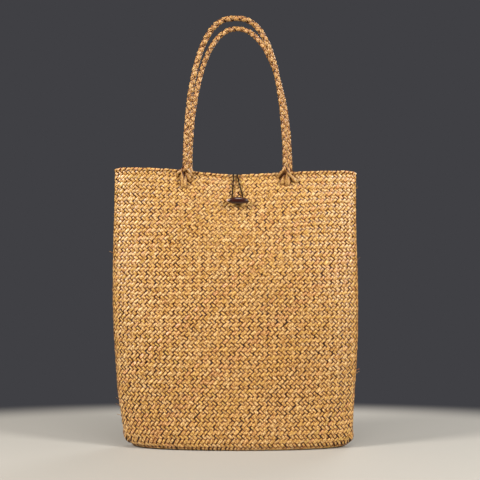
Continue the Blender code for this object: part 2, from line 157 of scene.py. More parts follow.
def panel(across, up, side, inset=WALL / 2):
    """Points of one panel, in the middle of the wall's thickness unless inset says otherwise."""
    across, up = np.broadcast_arrays(np.asarray(across, float), np.asarray(up, float))
    _, left, right, belly, mouth, square = section(up)
    reach = np.where(across < 0, left, right) * HALF_WIDTH - FOLD_THICKENING * inset
    pinch = 1 - PINCH * mouth * np.exp(-((across / PINCH_SPREAD) ** 2))
    depth = (belly * BELLY + mouth * MOUTH) / 2 * pinch
    for face, middle, height, spread, tall, proud in SWELLS:
        if face == side:
            away = ((across / HALF_WIDTH - middle) / spread) ** 2 + ((up - height) / tall) ** 2
            depth = depth + np.exp(-away) * proud * BELLY / 2
    full = np.clip(1 - (np.abs(across) / reach) ** square, 0, 1) ** (1 / square)
    height = up * RIM_HEIGHT + up**4 * rim_rise(across)
    height = height + BASE_LIFT * np.exp(-height / BASE_LIFT_FADE)
    return np.stack([across, side * full * (depth - inset), height], -1)


# The wall as a grid: turn runs once round from the right fold by the back, left fold and front,
# and levels below 0 lie on the floor, inwards from the wall's foot
GRID_TURNS = 480
UNDER_REACH = 0.040
UNDER_LEVELS = np.linspace(-UNDER_REACH, 0, 8, endpoint=False)
WALL_LEVELS = np.linspace(0, 1, 130)


def wall_grid():
    """Points of the wall's middle: a ring for each level under the base and up the wall."""
    rings = []
    for up in WALL_LEVELS:
        _, left, right, _, _, square = section(up)
        ring = []
        for side, start in ((BACK, 0.0), (FRONT, math.pi)):
            turn = np.linspace(start, start + math.pi, GRID_TURNS // 2)
            reach = np.where(np.cos(turn) < 0, left, right) * HALF_WIDTH
            reach = reach - FOLD_THICKENING * WALL / 2
            across = reach * np.sign(np.cos(turn)) * np.abs(np.cos(turn)) ** (2 / square)
            ring.append(spread_evenly(panel(across, up, side), GRID_TURNS // 2 + 1)[:-1])
        rings.append(np.concatenate(ring))
    rings = np.array(rings)
    ahead = np.roll(rings[0], -1, 0) - np.roll(rings[0], 1, 0)
    inwards = unit(np.stack([-ahead[:, 1], ahead[:, 0], 0 * ahead[:, 0]], -1))
    under = np.array([rings[0] - inwards * level * RIM_HEIGHT for level in UNDER_LEVELS])
    return np.concatenate([under, rings])


wall_points = wall_grid()
wall_levels = np.concatenate([UNDER_LEVELS, WALL_LEVELS])
round_step = np.roll(wall_points, -1, 1) - np.roll(wall_points, 1, 1)
wall_normals = unit(np.cross(round_step, np.gradient(wall_points, axis=0)))


def on_wall(turn, up):
    """Points and outward normals of the wall's middle at turns (1 is once round) and heights."""
    column = np.mod(turn, 1.0) * GRID_TURNS
    row = np.interp(up, wall_levels, np.arange(len(wall_levels)))
    left, low = np.floor(column).astype(int), np.minimum(row.astype(int), len(wall_levels) - 2)
    share, rise = (column - left)[..., None], (row - low)[..., None]
    left, right = left % GRID_TURNS, (left + 1) % GRID_TURNS
    found = []
    for grid in (wall_points, wall_normals):
        lower = grid[low, left] * (1 - share) + grid[low, right] * share
        upper = grid[low + 1, left] * (1 - share) + grid[low + 1, right] * share
        found.append(lower * (1 - rise) + upper * rise)
    return found[0], unit(found[1])


def linear(colour):
    """An sRGB hex colour as linear RGBA."""
    parts = [int(colour[i : i + 2], 16) / 255 for i in (1, 3, 5)]
    return [((c + 0.055) / 1.055) ** 2.4 if c > 0.04045 else c / 12.92 for c in parts] + [1.0]


def add_node(tree, kind, settings=None, inputs=None, output=0):
    """An output of a new node. Its inputs are values, or the sockets that feed them."""
    node = tree.nodes.new(kind)
    for name, value in (settings or {}).items():
        setattr(node, name, value)
    for name, value in (inputs or {}).items():
        if isinstance(value, bpy.types.NodeSocket):
            tree.links.new(value, node.inputs[name])
        else:
            node.inputs[name].default_value = value
    return node.outputs[output]


def add_mesh(name, verts, faces, finish):
    """A smooth object of one material."""
    mesh = bpy.data.meshes.new(name)
    mesh.from_pydata(verts, [], faces)
    mesh.polygons.foreach_set("use_smooth", [True] * len(faces))
    mesh.materials.append(finish)
    return add_object(name, mesh)


def carry(mesh, name, values, kind="value"):
    """Stores numbers, or directions if kind is vector, on a mesh's points."""
    store = mesh.attributes.new(name, {"value": "FLOAT", "vector": "FLOAT_VECTOR"}[kind], "POINT")
    store.data.foreach_set(kind, np.ascontiguousarray(values, np.float32).ravel())


def new_finish(name, constants):
    """A material, its nodes, and its shader with the numbers that are the same all over."""
    finish = bpy.data.materials.new(name)
    finish.use_nodes = True
    shader = finish.node_tree.nodes["Principled BSDF"]
    for key, value in constants.items():
        shader.inputs[key].default_value = value
    return finish, finish.node_tree, shader


def stored(tree, *names):
    """Numbers that a piece's mesh carries."""
    kind = "ShaderNodeAttribute"
    return [add_node(tree, kind, {"attribute_name": name}, output="Fac") for name in names]


def stretched(tree, place, scale):
    """A place times a scale along each axis."""
    settings, inputs = {"operation": "MULTIPLY"}, {0: place, 1: scale}
    return add_node(tree, "ShaderNodeVectorMath", settings, inputs)


def noise(tree, place, scale, detail):
    """A noise pattern, stretched by its scale along each axis."""
    inputs = {"Vector": stretched(tree, place, scale), "Detail": detail}
    return add_node(tree, "ShaderNodeTexNoise", inputs=inputs)


def ramp(tree, factor, stops):
    """A colour ramp through pairs of a place and a hex colour."""
    shade = add_node(tree, "ShaderNodeValToRGB", inputs={"Fac": factor})
    elements = shade.node.color_ramp.elements
    while len(elements) < len(stops):
        elements.new(1.0)
    for element, (place, colour) in zip(elements, stops):
        element.position = place
        element.color = linear(colour)
    return shade


def mixed(tree, factor, first, second, blend="MIX"):
    """Two colours, mixed or multiplied."""
    settings = {"data_type": "RGBA", "blend_type": blend}
    return add_node(tree, "ShaderNodeMix", settings, {0: factor, 6: first, 7: second}, 2)


def add_bump(tree, shader, height, strength, distance):
    """Raises the surface where the pattern is high."""
    inputs = {"Strength": strength, "Distance": distance, "Height": height}
    bump = add_node(tree, "ShaderNodeBump", inputs=inputs)
    tree.links.new(bump, shader.inputs["Normal"])


def straw_finish(name, shades, recess, roughness):
    """Dried palm straw, flattened and sun-bleached: satin, with fine grooves along each straw and
    a shade of its own for each straw. Painted shade darkens its edges, and darkens and reddens
    it where it dives under."""
    finish, tree, shader = new_finish(name, {"Roughness": roughness, "IOR": 1.5})
    along, across, lift, tone = stored(tree, "along", "across", "lift", "tone")
    shading = ramp(tree, tone, shades)

    # Blotches some 8 mm long, and grooves about 0.8 mm apart that run the length of the straw
    place = add_node(tree, "ShaderNodeCombineXYZ", inputs={"X": along, "Y": across, "Z": tone})
    blotch = noise(tree, place, (125.0, 0.35, 71.0), 2.0)
    groove = noise(tree, place, (60.0, 2.8, 37.0), 2.0)
    edge = add_node(tree, "ShaderNodeMath", {"operation": "ABSOLUTE"}, {0: across})

    # Each of these multiplies the straw's own shade: blotches, grooves, painted shade along the
    # edges where neighbours meet, and painted shade where the straw dives under, by how far on
    # top it lies
    layers = (
        (blotch, ((0.33, "#A3814F"), (0.50, "#E4D6BF"), (0.65, "#FFFFFF"))),
        (groove, ((0.34, "#B79C78"), (0.50, "#F4EFE6"), (0.66, "#FFFFFF"))),
        (edge, ((0.50, "#FFFFFF"), (0.62, "#D2A562"), (0.82, "#6E3F10"), (1.00, "#341A02"))),
        (lift, recess),
    )
    for factor, stops in layers:
        shading = mixed(tree, 1.0, shading, ramp(tree, factor, stops), "MULTIPLY")
    tree.links.new(shading, shader.inputs["Base Color"])
    add_bump(tree, shader, groove, 0.55, 0.00025)
    return finish


def strand_tree():
    """Sweeps a lens-shaped strand along each line of a mesh. The lines' points carry the way the
    flat side faces, half the strand's width, how far on top it lies and the strand's shade."""
    tree = bpy.data.node_groups.new("straws_along_lines", "GeometryNodeTree")
    asked = {"Lines": "Geometry", "Thickness share": "Float", "Squareness": "Float"}
    for name, kind in (asked | {"Sides": "Int", "Straw finish": "Material"}).items():
        tree.interface.new_socket(name, in_out="INPUT", socket_type="NodeSocket" + kind)
    tree.interface.new_socket("Straws", in_out="OUTPUT", socket_type="NodeSocketGeometry")
    given = tree.nodes.new("NodeGroupInput").outputs

    def step(kind, inputs, **settings):
        """The first output of a new node."""
        return add_node(tree, kind, settings, inputs)

    def carried(name, kind):
        """What the lines' points carry under this name."""
        return step("GeometryNodeInputNamedAttribute", {"Name": name}, data_type=kind)

    def store(geometry, name, value):
        """Stores a number on each point, for the finish."""
        inputs = {"Geometry": geometry, "Name": name, "Value": value}
        settings = {"data_type": "FLOAT", "domain": "POINT"}
        return step("GeometryNodeStoreNamedAttribute", inputs, **settings)

    # The lines, turned so that the flat side faces out
    curve = step("GeometryNodeMeshToCurve", {"Mesh": given["Lines"]})
    facing = carried("facing", "FLOAT_VECTOR")
    curve = step("GeometryNodeSetCurveNormal", {"Curve": curve, "Normal": facing}, mode="FREE")
    length = tree.nodes.new("GeometryNodeSplineParameter").outputs["Length"]
    curve = store(curve, "along", length)

    # The lens: a ring of radius 1, flattened, with its two edges squared off
    ring = step("GeometryNodeCurvePrimitiveCircle", {"Resolution": given["Sides"], "Radius": 1.0})
    ring = step("GeometryNodeTransform", {"Geometry": ring, "Rotation": (0, 0, math.pi / 2)})
    position = tree.nodes.new("GeometryNodeInputPosition").outputs[0]
    place = step("ShaderNodeSeparateXYZ", {0: position}).node.outputs
    ring = store(ring, "across", place["Y"])
    times = {"operation": "MULTIPLY"}
    thick = step("ShaderNodeMath", {0: place["X"], 1: given["Thickness share"]}, **times)
    broad = step("ShaderNodeMath", {0: place["Y"], 1: given["Squareness"]}, **times)
    broad = step("ShaderNodeClamp", {"Value": broad, "Min": -1.0, "Max": 1.0})
    place = step("ShaderNodeCombineXYZ", {"X": thick, "Y": broad})
    lens = step("GeometryNodeSetPosition", {"Geometry": ring, "Position": place})

    sweep = {
        "Curve": curve,
        "Profile Curve": lens,
        "Scale": carried("half_width", "FLOAT"),
        "Fill Caps": True,
    }
    swept = step("GeometryNodeCurveToMesh", sweep)
    swept = step("GeometryNodeSetShadeSmooth", {0: swept})
    swept = step("GeometryNodeRealizeInstances", {0: swept})
    dressing = {"Geometry": swept, "Material": given["Straw finish"]}
    final = tree.nodes.new("NodeGroupOutput")
    tree.links.new(step("GeometryNodeSetMaterial", dressing), final.inputs[0])
    return tree


STRAND_TREE = strand_tree()


def straw_piece(name, points, facing, half_width, lift, tone, finish, share, square=1.45, sides=6):
    """A piece of many strands. points and facing are strands x rings x 3, half_width and lift
    are strands x rings, tone is a number a strand, share is the thickness over the width."""
    strands, rings = points.shape[:2]
    mesh = bpy.data.meshes.new(name)
    mesh.vertices.add(strands * rings)
    mesh.vertices.foreach_set("co", np.ascontiguousarray(points, np.float32).ravel())
    starts = np.arange(strands * rings).reshape(strands, rings)
    edges = np.stack([starts[:, :-1], starts[:, 1:]], -1).reshape(-1, 2)
    mesh.edges.add(len(edges))
    mesh.edges.foreach_set("vertices", edges.astype(np.int32).ravel())
    carry(mesh, "facing", facing, "vector")
    carry(mesh, "half_width", half_width)
    carry(mesh, "lift", lift)
    carry(mesh, "tone", np.repeat(tone, rings))
    guide = add_object(name + "_lines", mesh)
    sweep = guide.modifiers.new("straws", "NODES")
    sweep.node_group = STRAND_TREE
    sockets = {item.name: item.identifier for item in STRAND_TREE.interface.items_tree}
    sweep[sockets["Thickness share"]] = share
    sweep[sockets["Squareness"]] = square
    sweep[sockets["Sides"]] = sides
    sweep[sockets["Straw finish"]] = finish
    bpy.context.view_layer.update()
    evaluated = guide.evaluated_get(bpy.context.evaluated_depsgraph_get())
    swept = bpy.data.meshes.new_from_object(evaluated)
    bpy.data.objects.remove(guide, do_unlink=True)
    swept.name = name
    return add_object(name, swept)


SHADES = (
    (0.00, "#F8D48E"),
    (0.14, "#F1CA80"),
    (0.30, "#FDE0A8"),
    (0.44, "#F2CA84"),
    (0.58, "#FFE3AE"),
    (0.70, "#F8D18C"),
    (0.84, "#F0CC80"),
    (0.92, "#F8C896"),
    (0.97, "#E6C878"),
    (1.00, "#FBD79A"),
)
# Painted shade where a straw dives under: darkest deepest down, none on top
RECESS = ((0.0, "#2C1200"), (0.54, "#553006"), (0.80, "#B07C38"), (0.94, "#FFFFFF"))
woven_finish = straw_finish("bleached_palm_straw", SHADES, RECESS, 0.33)

# 114 straws each way, 6.9 mm apart round the pouch, and 4 crossings to each of 35 rows. Rows
# are a tenth taller at the base and a tenth lower at the rim.
STRAWS = 114
CROSSINGS = 141.0
ROW_CROSSINGS, ROWS_UNDER = 4, 2
ROW_STRETCH = 0.1
TURNS_UP = CROSSINGS / (2 * STRAWS)
TUCKED_UNDER = 0.7 * UNDER_REACH * CROSSINGS

# Every second straw is narrow, and the rising set is a little wider than the falling one
STRAW_HALF_WIDTH = 0.00217
STRAW_WIDTHS = (0.84, 1.13)
RISING_WIDER = 0.09
STRAW_SHARE = 0.19
WEAVE_SWING = 0.00052

# Rings of one straw over a row: the place in crossings, and how far on top it lies there.
# Straws that rise to the right pass over crossings 0 and 1, the others over 2 and 3.
WEAVE_RINGS = {
    1: ((-0.36, 0.85), (0.2, 1), (0.8, 1), (1.36, 0.85), (1.8, -0.85), (2.5, -1), (3.2, -0.85)),
    -1: ((-0.36, -0.85), (0.5, -1), (1.36, -0.85), (1.8, 0.85), (2.5, 1), (3.2, 0.85)),
}

# Slow drifts of the rows: size in crossings, waves round and up the pouch, and phase. They fade
# out over a twelfth of the height at the base and at the rim.
DRIFTS = ((0.30, 3, 1.7, 0.0), (0.22, 7, -3.1, 0.3))
DRIFT_FADE = 12

# How uneven the hand is along a straw, as steps and size: sideways in straws, in and out in
# swings, tilt in radians and width as a share. Whole straws differ by a tilt and a width too.
SIDE_WAVER, SWING_WAVER = (30, 0.075), (60, 0.10)
TILT_WAVER, WIDTH_WAVER = (40, 0.05), (40, 0.03)
TILT_DEGREES, WIDTH_SPREAD = 4, 0.045
chance = np.random.default_rng(7)


def wavering(shape, steps, size):
    """Smooth random offsets along each straw."""
    knots = chance.normal(0, size, (shape[0], steps))
    places = np.linspace(0, steps - 1, shape[1])
    return np.array([np.interp(places, np.arange(steps), row) for row in knots])


def weave(lean, first):
    """Every second straw of one set. lean is 1 for straws that rise to the right."""
    straws = np.arange(first, STRAWS, 2)
    rows = np.arange(-ROWS_UNDER, int(CROSSINGS / ROW_CROSSINGS) + 1)
    place, lift = np.array(WEAVE_RINGS[lean]).T
    crossing = (ROW_CROSSINGS * rows[:, None] + place).ravel()
    keep = (crossing > -TUCKED_UNDER) & (crossing < CROSSINGS)
    climb = np.tile(crossing[keep] / CROSSINGS, (len(straws), 1))
    up = climb * (1 + ROW_STRETCH - ROW_STRETCH * climb)
    lift = np.broadcast_to(np.tile(lift, len(rows))[keep], up.shape)
    turn = straws[:, None] / STRAWS + lean * TURNS_UP * climb
    turn = turn + wavering(up.shape, *SIDE_WAVER) / STRAWS
    drift = sum(
        size * np.sin(2 * math.pi * (around * turn + upwards * up + phase))
        for size, around, upwards, phase in DRIFTS
    )
    drift = drift * np.clip(up * DRIFT_FADE, 0, 1) * np.clip((1 - up) * DRIFT_FADE, 0, 1)
    points, normals = on_wall(turn, up + drift / CROSSINGS)
    swing = WEAVE_SWING * (lift + wavering(up.shape, *SWING_WAVER))
    points = points + normals * swing[..., None]
    sideways = unit(np.cross(np.gradient(points, axis=1), normals))
    tilt = np.radians(chance.normal(0, TILT_DEGREES, len(straws)))[:, None]
    tilt = tilt + wavering(up.shape, *TILT_WAVER)
    facing = normals * np.cos(tilt)[..., None] + sideways * np.sin(tilt)[..., None]
    width = STRAW_HALF_WIDTH * STRAW_WIDTHS[first] * (1 + RISING_WIDER * lean)
    width = width * chance.normal(1, WIDTH_SPREAD, len(straws))
    half_width = width[:, None] * (1 + wavering(up.shape, *WIDTH_WAVER))
    # The last but one, from how far on top a straw lies, sets its painted shade where it dives
    # under
    return points, facing, half_width, 0.5 + 0.5 * lift, chance.random(len(straws))


for lean, name in ((1, "rising_straws"), (-1, "falling_straws")):
    for first in (0, 1):
        straws = straw_piece(f"{name}_{first + 1}", *weave(lean, first), woven_finish, STRAW_SHARE)
        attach(straws, "root")
        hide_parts("woven_body")


# Base mat.
# The same straws, plaited flat across the bottom. It lies inside the ends of the wall's straws,
# which turn under its edge.

MAT_LEAN = math.radians(40)
MAT_PITCH = 0.00428
MAT_WIDTHS = (0.9, 1.1)
MAT_RINGS = 42
MAT_HEIGHT, MAT_SWING, MAT_STEEPNESS = 0.0021, 0.0005, 1.6
MAT_MARGIN = 0.0008

# Places tried along a straw to cut it to length, and how few of them are too short a straw
PROBE = np.linspace(-0.2, 0.2, 1600)
SHORTEST = 12


def mat(lean):
    """Every straw of one set, from edge to edge of the base's oval."""
    way = np.array([math.cos(MAT_LEAN), lean * math.sin(MAT_LEAN)])
    aside = np.array([-way[1], way[0]])
    edge = wall_points[len(UNDER_LEVELS)][:, :2]
    edge_angle, edge_reach = np.arctan2(edge[:, 1], edge[:, 0]), np.linalg.norm(edge, axis=1)
    order = np.argsort(edge_angle)
    last = int(np.abs(edge @ aside).max() / MAT_PITCH)
    lines, widths = [], []
    for number in range(-last, last + 1):
        away = number * MAT_PITCH * aside
        spots = PROBE[:, None] * way + away
        angle = np.arctan2(spots[:, 1], spots[:, 0])
        border = np.interp(angle, edge_angle[order], edge_reach[order], period=2 * math.pi)
        inside = PROBE[np.linalg.norm(spots, axis=1) < border - MAT_MARGIN]
        if len(inside) > SHORTEST:
            lines.append(np.linspace(inside[0], inside[-1], MAT_RINGS)[:, None] * way + away)
            widths.append(STRAW_HALF_WIDTH * MAT_WIDTHS[number % 2])
    flat = np.array(lines)
    crossing = 2 * flat[..., 1] * math.cos(MAT_LEAN) / MAT_PITCH
    lift = lean * np.clip(MAT_STEEPNESS * np.cos(math.pi / 2 * crossing), -1, 1)
    points = np.concatenate([flat, (MAT_HEIGHT + MAT_SWING * lift)[..., None]], -1)
    facing = np.broadcast_to((0.0, 0.0, 1.0), points.shape)
    half_width = np.array(widths)[:, None] * np.ones(MAT_RINGS)
    # The last but one, from how far on top a straw lies, sets its painted shade where it dives
    # under
    return points, facing, half_width, 0.5 + 0.5 * lift, chance.random(len(flat))


mat_straws = (np.concatenate(pair) for pair in zip(mat(1), mat(-1)))
base_mat = straw_piece("base_mat", *mat_straws, woven_finish, STRAW_SHARE)
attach(base_mat, "root")
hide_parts("woven_body")


# Rim.
# Each rising straw is folded over the edge of the mouth and tucked back down inside, so the rim
# is a close row of folds that slant with the straws, every second one longer and prouder.

FOLD_LENGTH = 1.16 / STRAWS
FOLD_LENGTHS = (0.90, 1.12)
FOLD_PROUD = (-0.00006, 0.00012)
FOLD_LEAN = 0.9 * TURNS_UP / RIM_HEIGHT
FOLD_STEPS = 5
FOLD_CROWN, FOLD_HALF_THICKNESS = 0.00022, 0.00028

# Painted shade darkens the folds as they dive, down to this far below the rim
FOLD_DARK = 0.0055

# How much folds differ: how proud and how high in metres, length as a share, place in straws
PROUD_SPREAD, HEIGHT_SPREAD, LENGTH_SPREAD, PLACE_SPREAD = 0.00014, 0.00025, 0.12, 0.1

# Across the rim, out from the wall's middle and down from the top of the rim, in millimetres
FOLD_PATH = np.array(
    (
        (0.75, 2.3),
        (1.00, 1.8),
        (1.12, 1.2),
        (1.06, 0.55),
        (0.80, 0.06),
        (0.30, -0.20),
        (-0.40, -0.05),
        (-1.00, 0.60),
        (-1.20, 2.0),
        (-1.00, 4.4),
    )
) / 1000


def rim_point(turn, out, down):
    """A point near the rim, out from the wall's middle and down from its top."""
    points, normals = on_wall(turn, 1 - np.maximum(down, 0) / RIM_HEIGHT)
    points = points + normals * out[..., None]
    points[..., 2] -= np.minimum(down, 0)
    return points


def fold_faces(start):
    """The two sides of one fold and its edge, from the number of its first point."""
    front = start + np.arange(len(FOLD_PATH) * FOLD_STEPS).reshape(-1, FOLD_STEPS)
    back = front + front.size
    faces = []
    for i in range(len(FOLD_PATH) - 1):
        for j in range(FOLD_STEPS - 1):
            for face, turn in ((front, -1), (back, 1)):
                quad = face[i : i + 2, j : j + 2].ravel()[[0, 1, 3, 2]]
                faces.append(quad[::turn].tolist())
    ring = [*front[0], *front[1:, -1], *front[-1, -2::-1], *front[-2:0:-1, 0]]
    for a, b in zip(ring, ring[1:] + ring[:1]):
        faces.append([int(point) for point in (a, b, b + front.size, a + front.size)])
    return faces


def all_folds():
    """The whole rim of folds, each a curved strip with a crown, bent over the rim."""
    verts, faces, tones = [], [], []
    path_out, path_down = FOLD_PATH[:, :1], FOLD_PATH[:, 1:]
    step = np.gradient(FOLD_PATH, axis=0)
    outwards = unit(np.stack([-step[:, 1], step[:, 0]], -1))
    side = np.linspace(-1, 1, FOLD_STEPS)
    lean = FOLD_LEAN * (np.where(path_out > 0, -1, 1) * np.maximum(path_down, 0))
    shape = (len(FOLD_PATH), FOLD_STEPS)
    for number in range(STRAWS):
        proud = PROUD_SPREAD * chance.normal() + FOLD_PROUD[number % 2]
        height = HEIGHT_SPREAD * chance.normal()
        length = FOLD_LENGTH * FOLD_LENGTHS[number % 2] * chance.normal(1, LENGTH_SPREAD)
        tones.append(chance.random())
        middle = number / STRAWS + TURNS_UP + PLACE_SPREAD * chance.normal() / STRAWS
        turn = middle + length / 2 * side[None, :] + lean
        for face in (1, -1):
            crown = FOLD_CROWN * (1 - side**2)[None, :]
            lift = proud + FOLD_HALF_THICKNESS * face + crown * face
            out = path_out + outwards[:, :1] * lift
            down = path_down + outwards[:, 1:] * lift + height
            verts.append(rim_point(turn, out, down).reshape(-1, 3))
        faces += fold_faces(number * 2 * shape[0] * shape[1])
    folds = add_mesh("rim_folds", np.concatenate(verts).tolist(), faces, woven_finish)
    # lift sets the folds' painted shade, darker the further they go down
    for key, value in (
        ("along", run_along(FOLD_PATH)[:, None]),
        ("across", side[None, :]),
        ("lift", 1 - np.clip(path_down / FOLD_DARK, 0, 1) ** 3),
    ):
        carry(folds.data, key, np.tile(np.broadcast_to(value, shape), (2 * STRAWS, 1)))
    carry(folds.data, "tone", np.repeat(tones, 2 * shape[0] * shape[1]))
    return folds


rim = all_folds()
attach(rim, "root")
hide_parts("woven_body")


# Handles.
# Four bundles of straw, plaited round in pairs like a rope, two winding each way. At each end
# the bundles part, fan out over the rim, and their ends are tucked in through the weave.

# The middle line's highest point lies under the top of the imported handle
HANDLE_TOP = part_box("front_handle")[1].z - 0.0047
FOOT_DROP = 0.020
RIM_LIP = 0.0005
GAP = 0.0003
ARCH_START = 1.26 * FOOT_DROP
BRAID_TURN = 0.0240
RINGS_PER_TURN = 13

# The braid, drawn for this thickness: how far its four bundles lie out and swing, and how far
# apart, sunk and tilted the outer two of a bundle's three straws are
BRAID_DRAWN = 0.0102
BUNDLE_RADIUS, BUNDLE_SWING, BUNDLE_STEEPNESS = 0.00250, 0.00105, 1.35
STRAW_PITCH, STRAW_SINK, STRAW_TILT = 0.00175, 0.00075, 0.55
BRAID_HALF_WIDTH = 0.00194
BRAID_SLACK, BRAID_WIDTH_WAVER, BRAID_TONES = (90, 0.00022), (70, 0.09), 0.2

# A foot's straws fan out from this far above the rim, over a knee that stands off the rim, and
# land on the wall, those near the rim on a second layer
FAN_HEIGHT = 0.008
KNEE_SHARE, KNEE_DOWN, KNEE_OUT, KNEE_RISE = 0.55, 0.001, 0.0042, 0.004
LAYER, SECOND_LAYER, SECOND_LAYER_DOWN = 0.0024, 0.0030, 0.004
FOOT_RINGS = 16

# The last rings, tucked in: on from where the straw lands, into the wall, and how far on top,
# which also sets their painted shade
TUCK = np.array(((0.0022, 0.0006, 0.8), (0.0040, 0.0022, 0.4), (0.0052, 0.0040, 0.0)))


def wall_frame(across, side, down):
    """A point in the middle of the wall under the rim, and the way out of the wall there."""
    up = 1 - down / RIM_HEIGHT
    step = panel(across + 0.001, up, side) - panel(across - 0.001, up, side)
    return panel(across, up, side), unit(np.cross(step, (0, 0, -1)) * side)


def arch_route(side, shift, span, thickness, top_shift, top_y, squareness):
    """The middle line of a handle between its feet, at even steps, and its turns of braid."""
    starts = []
    for hand in (-1, 1):
        here, out = wall_frame(shift + hand * span / 2, side, 0.0)
        reach = WALL / 2 + RIM_LIP + GAP + thickness / 2
        starts.append(here + out * reach + np.array((0, 0, ARCH_START - FOOT_DROP)))
    left, right = starts
    middle = (left[0] + right[0]) / 2
    turn = np.linspace(math.pi, 0, 400)
    start = np.where((np.cos(turn) < 0)[:, None], left, right)
    rise = np.sin(turn)
    out = np.abs(np.cos(turn)) ** (2 / squareness)
    x = middle + (start[:, 0] - middle) * out + top_shift * rise**2
    y = start[:, 1] + (top_y - start[:, 1]) * rise**2
    z = start[:, 2] + (HANDLE_TOP - start[:, 2]) * rise
    line = np.stack([x, y, z], -1)
    turns = round(run_along(line)[-1] / BRAID_TURN)
    return spread_evenly(line, turns * RINGS_PER_TURN + 1), turns


def foot_straw(line, facing, width, side, middle, end, place):
    """The stretch of a straw from the end of the braid to where it is tucked in."""
    over, down, spread = np.array(end) / 1000
    slant = unit(np.array((over, -(down + FAN_HEIGHT))))
    aside, lower = slant[1] * place * spread, down - slant[0] * place * spread
    rest, out = wall_frame(middle + over + aside, side, max(lower, 0.0))
    landing = rest + out * (LAYER if lower > SECOND_LAYER_DOWN else SECOND_LAYER)
    knee, knee_out = wall_frame(middle + KNEE_SHARE * over + aside, side, KNEE_DOWN)
    knee = knee + knee_out * KNEE_OUT + np.array((0, 0, KNEE_RISE))

    # A cubic curve that leaves the braid straight on and comes down over the knee
    start = line[-1]
    leaving = unit(line[-1] - line[-4])
    pull_start = start + leaving * 0.30 * np.linalg.norm(landing - start)
    pull_end = knee * 0.5 + landing * 0.5 + out * 0.0012
    share = np.linspace(0, 1, FOOT_RINGS - len(TUCK))[1:, None]
    path = (
        (1 - share) ** 3 * start
        + 3 * (1 - share) ** 2 * share * pull_start
        + 3 * (1 - share) * share**2 * pull_end
        + share**3 * landing
    )
    on = unit(path[-1] - path[-2])
    path = np.concatenate([path, [landing + on * step - out * sink for step, sink, _ in TUCK]])

    # The straw turns from the braid's facing to the wall's, and flattens to a quarter wider
    blend = np.clip(np.linspace(0, 1.6, len(path)), 0, 1)[:, None]
    turn = unit(facing[-1] * (1 - blend) + out * blend)
    # How far on top sets the painted shade, which darkens the end as it is tucked in
    lift = np.linspace(0.9, 0.98, len(path))
    lift[-len(TUCK) :] = TUCK[:, 2]
    return path, turn, width[-1] * (1 + 0.25 * blend[:, 0]), lift


def braid(side, shift, span, thickness, top_shift, top_y, squareness, feet):
    """All the straws of one handle. feet gives, for each foot, where its four bundles end:
    across from the foot's middle, down from the rim and apart, in millimetres."""
    route, turns = arch_route(side, shift, span, thickness, top_shift, top_y, squareness)
    ahead = unit(np.gradient(route, axis=0))
    across = unit(np.cross(ahead, (0, side, 0)))
    depth = np.cross(across, ahead)
    turned = np.linspace(0, turns, len(route)) * 2 * math.pi
    scale = thickness / BRAID_DRAWN
    strands, tones = [], []
    for bundle in range(4):
        way, half = (1, -1)[bundle % 2], bundle // 2
        angle = way * turned + half * math.pi + math.pi / 4
        lift = way * np.clip(BUNDLE_STEEPNESS * np.cos(2 * turned), -1, 1)
        radius = scale * (BUNDLE_RADIUS + BUNDLE_SWING * lift)
        radial = across * np.cos(angle)[:, None] + depth * np.sin(angle)[:, None]
        middle = route + radial * radius[:, None]
        sideways = unit(np.cross(np.gradient(middle, axis=0), radial))
        tone = chance.random()
        for place in (-1, 0, 1):
            sunk = STRAW_SINK * scale * abs(place)
            steps, size = BRAID_SLACK
            slack = wavering((2, len(route)), steps, size * scale)[..., None]
            line = middle + sideways * (place * STRAW_PITCH * scale + slack[0])
            line = line - radial * (sunk + slack[1])
            tilt = STRAW_TILT * place
            facing = radial * math.cos(tilt) + sideways * math.sin(tilt)
            waver = wavering((1, len(route)), *BRAID_WIDTH_WAVER)[0]
            # The last, from how far on top the bundle lies, also sets its painted shade where it
            # passes under
            strand = (line, facing, BRAID_HALF_WIDTH * scale * (1 + waver), 0.5 + 0.5 * lift)
            ends = []
            for hand, foot in zip((-1, 1), feet):
                towards = [part[::hand] for part in strand[:3]]
                middle_x = shift + hand * span / 2
                ends.append(foot_straw(*towards, side, middle_x, foot[bundle], place))
            left = [part[::-1] for part in ends[0]]
            strands.append([np.concatenate(column) for column in zip(left, strand, ends[1])])
            tones.append((tone + BRAID_TONES * chance.normal()) % 1.0)
    return *(np.array(column) for column in zip(*strands)), np.array(tones)


BRAID_SHADES = (
    (0.00, "#DEB470"),
    (0.20, "#EEC988"),
    (0.40, "#DAB06C"),
    (0.60, "#F4D49A"),
    (0.80, "#E8BC7E"),
    (1.00, "#ECC486"),
)
# Painted shade where a braid's bundle passes under the others: darkest deepest down, none on top
BRAID_RECESS = ((0.0, "#241005"), (0.28, "#5A3014"), (0.50, "#B88A52"), (0.74, "#FFFFFF"))
braided_finish = straw_finish("plaited_palm_straw_cord", BRAID_SHADES, BRAID_RECESS, 0.40)

# Where the four bundles of each foot end: across from its middle and down from the rim, and
# how far apart their straws spread there, in mm
FRONT_FEET = (
    ((-9.5, 3.0, 1.7), (8.5, 5.0, 1.4), (-2.4, 20.0, 2.4), (5.4, 10.0, 1.1)),
    ((-8.8, 4.0, 1.5), (12.5, 11.0, 1.8), (-4.2, 13.5, 1.0), (2.8, 14.5, 1.9)),
)
BACK_FEET = (
    ((-8.5, 5.0, 1.8), (9.0, 7.0, 1.8), (-3.4, 16.0, 1.6), (3.4, 18.0, 1.6)),
    ((-8.0, 9.0, 1.8), (9.5, 4.0, 1.8), (-3.6, 18.0, 1.6), (3.2, 13.0, 1.6)),
)

